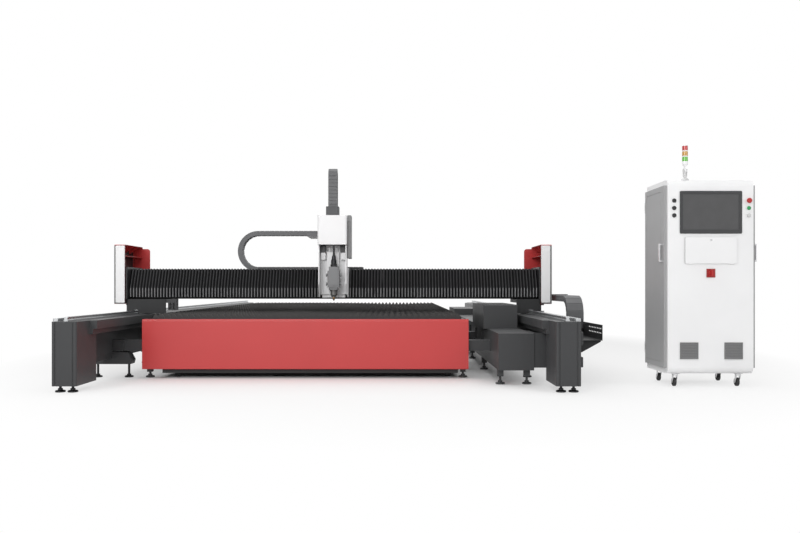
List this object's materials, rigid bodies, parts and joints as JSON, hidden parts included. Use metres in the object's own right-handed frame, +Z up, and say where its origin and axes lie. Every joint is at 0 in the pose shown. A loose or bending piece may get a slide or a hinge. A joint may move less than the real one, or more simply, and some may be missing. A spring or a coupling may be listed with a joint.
{
  "type": "fiber laser cutting machine",
  "caption": "Gantry laser cutting machine: long side beds, saw-tooth slat table, travelling gantry with bellows, cutting head, drag chains, dust duct and a wheeled control cabinet.",
  "frame": {"origin": "middle of the whole footprint, on the floor", "axes": "+X across the machine towards the cabinet, +Y from the operator's side to the back, +Z up"},
  "size_m": [6.094, 8.2, 2.118],
  "materials": {
    "bed_paint": "semi-gloss dark grey machine enamel",
    "red_paint": "semi-gloss red machine enamel",
    "white_paint": "fine textured white powder coat",
    "grey_paint": "grey powder coat",
    "ground_steel": "ground and oiled steel",
    "cast_alloy": "anodised light alloy",
    "slat_steel": "mill scale, plasma cut",
    "zinc_steel": "bright zinc plate",
    "chain_plastic": "moulded nylon links",
    "bellows_skin": "rubber-coated, pleated skin",
    "black_plastic": "black moulded plastic and enamel",
    "screen": "dark display with a matte bezel",
    "copper": "turned copper alloy",
    "roller_rubber": "black moulded rubber",
    "red_button": "glossy red plastic",
    "green_button": "glossy green plastic",
    "chrome_button": "white plastic in a bright ring",
    "lamp_lens": "tinted clear plastic in red, amber and green"
  },
  "bodies": {
    "base": {"bed_left": "bed_paint", "bed_right": "bed_paint", "cross_beams": "bed_paint", "table_frame": "bed_paint", "extraction_duct": "bed_paint", "y_chain_trough": "bed_paint", "table_front_panel": "red_paint", "cabinet_shell": "white_paint", "front_vents": "grey_paint", "cabinet_fittings": "grey_paint", "guide_rails": "ground_steel", "gear_racks": "ground_steel", "cutting_slats": "slat_steel", "leveling_feet": "zinc_steel", "y_chain": "chain_plastic", "panel_fittings": "black_plastic", "lamp_base": "black_plastic", "monitor": "screen"},
    "tray": {"slag_tray": "bed_paint"},
    "gantry": {"gantry_beam": "grey_paint", "saddles": "bed_paint", "rail_blocks": "ground_steel", "end_covers": "red_paint", "end_fascias": "white_paint", "y_motors": "black_plastic", "x_rails": "ground_steel", "x_chain": "chain_plastic", "bellows_left": "bellows_skin", "bellows_right": "bellows_skin", "chain_bracket": "bed_paint"},
    "carriage": {"carriage_frame": "white_paint", "carriage_cover": "white_paint", "side_box": "grey_paint", "z_guides": "ground_steel", "z_chain": "chain_plastic"},
    "head": {"head_plate": "white_paint", "cutting_head": "cast_alloy", "nozzle": "copper", "fibre_connector": "ground_steel"},
    "lamp": {"lamp_tower": "white_paint", "lamp_lenses": "lamp_lens"},
    "tray_axle_front": {"tray_axle_front": "roller_rubber"},
    "tray_axle_rear": {"tray_axle_rear": "roller_rubber"},
    "pinion_left": {"pinion_left": "ground_steel"},
    "pinion_right": {"pinion_right": "ground_steel"},
    "door_left": {"door_left": "grey_paint"},
    "door_right": {"door_right": "grey_paint"},
    "keyboard_flap": {"keyboard_flap": "white_paint"},
    "switch_handle": {"switch_handle": "red_paint"},
    "estop_button": {"estop_button": "red_button"},
    "start_button": {"start_button": "green_button"},
    "reset_button": {"reset_button": "chrome_button"},
    "caster_fork_front_left": {"caster_fork_front_left": "zinc_steel"},
    "caster_fork_front_right": {"caster_fork_front_right": "zinc_steel"},
    "caster_fork_rear_left": {"caster_fork_rear_left": "zinc_steel"},
    "caster_fork_rear_right": {"caster_fork_rear_right": "zinc_steel"},
    "caster_wheel_front_left": {"caster_wheel_front_left": "roller_rubber"},
    "caster_wheel_front_right": {"caster_wheel_front_right": "roller_rubber"},
    "caster_wheel_rear_left": {"caster_wheel_rear_left": "roller_rubber"},
    "caster_wheel_rear_right": {"caster_wheel_rear_right": "roller_rubber"}
  },
  "joints": [
    {"name": "gantry_travel", "type": "slide", "parent": "base", "child": "gantry", "axis": [0, 1, 0], "range_m": [-0.5, 5.2], "deforming": ["y_chain"]},
    {"name": "pinion_left_spin", "type": "hinge", "parent": "gantry", "child": "pinion_left", "pos_m": [-2.982, -2.03, 0.6], "axis": [0, 0, 1], "continuous": true},
    {"name": "pinion_right_spin", "type": "hinge", "parent": "gantry", "child": "pinion_right", "pos_m": [1.448, -2.03, 0.6], "axis": [0, 0, 1], "continuous": true},
    {"name": "carriage_travel", "type": "slide", "parent": "gantry", "child": "carriage", "axis": [1, 0, 0], "range_m": [-1.15, 1.3], "deforming": ["bellows_left", "bellows_right", "x_chain"]},
    {"name": "head_lift", "type": "slide", "parent": "carriage", "child": "head", "axis": [0, 0, 1], "range_m": [-0.11, 0.02], "deforming": ["z_chain"]},
    {"name": "slag_tray_pull", "type": "slide", "parent": "base", "child": "tray", "axis": [0, -1, 0], "range_m": [0, 1.4]},
    {"name": "tray_front_roll", "type": "hinge", "parent": "tray", "child": "tray_axle_front", "pos_m": [-0.767, -2.86, 0.0223], "axis": [1, 0, 0], "continuous": true},
    {"name": "tray_rear_roll", "type": "hinge", "parent": "tray", "child": "tray_axle_rear", "pos_m": [-0.767, -1.66, 0.0223], "axis": [1, 0, 0], "continuous": true},
    {"name": "door_left_swing", "type": "hinge", "parent": "base", "child": "door_left", "pos_m": [2.229, -3.161, 0.96], "axis": [0, 0, -1], "range_deg": [0, 60]},
    {"name": "door_right_swing", "type": "hinge", "parent": "base", "child": "door_right", "pos_m": [3.008, -3.161, 0.96], "axis": [0, 0, 1], "range_deg": [0, 110]},
    {"name": "flap_swing", "type": "hinge", "parent": "base", "child": "keyboard_flap", "pos_m": [2.6185, -3.73, 1.068], "axis": [1, 0, 0], "range_deg": [0, 90]},
    {"name": "main_switch_turn", "type": "hinge", "parent": "base", "child": "switch_handle", "pos_m": [2.6185, -3.725, 0.99], "axis": [0, 1, 0], "range_deg": [0, 90]},
    {"name": "estop_press", "type": "slide", "parent": "base", "child": "estop_button", "axis": [0, 1, 0], "range_m": [0, 0.006], "stiffness_N_per_m": 1500},
    {"name": "start_press", "type": "slide", "parent": "base", "child": "start_button", "axis": [0, 1, 0], "range_m": [0, 0.004], "stiffness_N_per_m": 1000},
    {"name": "reset_press", "type": "slide", "parent": "base", "child": "reset_button", "axis": [0, 1, 0], "range_m": [0, 0.004], "stiffness_N_per_m": 1000},
    {"name": "lamp_fold", "type": "hinge", "parent": "base", "child": "lamp", "pos_m": [2.424, -3.645, 1.888], "axis": [1, 0, 0], "range_deg": [-90, 0]},
    {"name": "caster_front_left_swivel", "type": "hinge", "parent": "base", "child": "caster_fork_front_left", "pos_m": [2.331, -3.658, 0.1], "axis": [0, 0, 1], "continuous": true},
    {"name": "caster_front_left_roll", "type": "hinge", "parent": "caster_fork_front_left", "child": "caster_wheel_front_left", "pos_m": [2.331, -3.633, 0.0375], "axis": [1, 0, 0], "continuous": true},
    {"name": "caster_front_right_swivel", "type": "hinge", "parent": "base", "child": "caster_fork_front_right", "pos_m": [2.883, -3.658, 0.1], "axis": [0, 0, 1], "continuous": true},
    {"name": "caster_front_right_roll", "type": "hinge", "parent": "caster_fork_front_right", "child": "caster_wheel_front_right", "pos_m": [2.883, -3.633, 0.0375], "axis": [1, 0, 0], "continuous": true},
    {"name": "caster_rear_left_swivel", "type": "hinge", "parent": "base", "child": "caster_fork_rear_left", "pos_m": [2.331, -3.247, 0.1], "axis": [0, 0, 1], "continuous": true},
    {"name": "caster_rear_left_roll", "type": "hinge", "parent": "caster_fork_rear_left", "child": "caster_wheel_rear_left", "pos_m": [2.331, -3.222, 0.0375], "axis": [1, 0, 0], "continuous": true},
    {"name": "caster_rear_right_swivel", "type": "hinge", "parent": "base", "child": "caster_fork_rear_right", "pos_m": [2.883, -3.247, 0.1], "axis": [0, 0, 1], "continuous": true},
    {"name": "caster_rear_right_roll", "type": "hinge", "parent": "caster_fork_rear_right", "child": "caster_wheel_rear_right", "pos_m": [2.883, -3.222, 0.0375], "axis": [1, 0, 0], "continuous": true}
  ],
  "couplings": [
    {"joint": "pinion_left_spin", "follows": "gantry_travel", "rad_per_m": -27.778},
    {"joint": "pinion_right_spin", "follows": "gantry_travel", "rad_per_m": 27.778},
    {"joint": "tray_front_roll", "follows": "slag_tray_pull", "rad_per_m": 45.455},
    {"joint": "tray_rear_roll", "follows": "slag_tray_pull", "rad_per_m": 45.455}
  ]
}
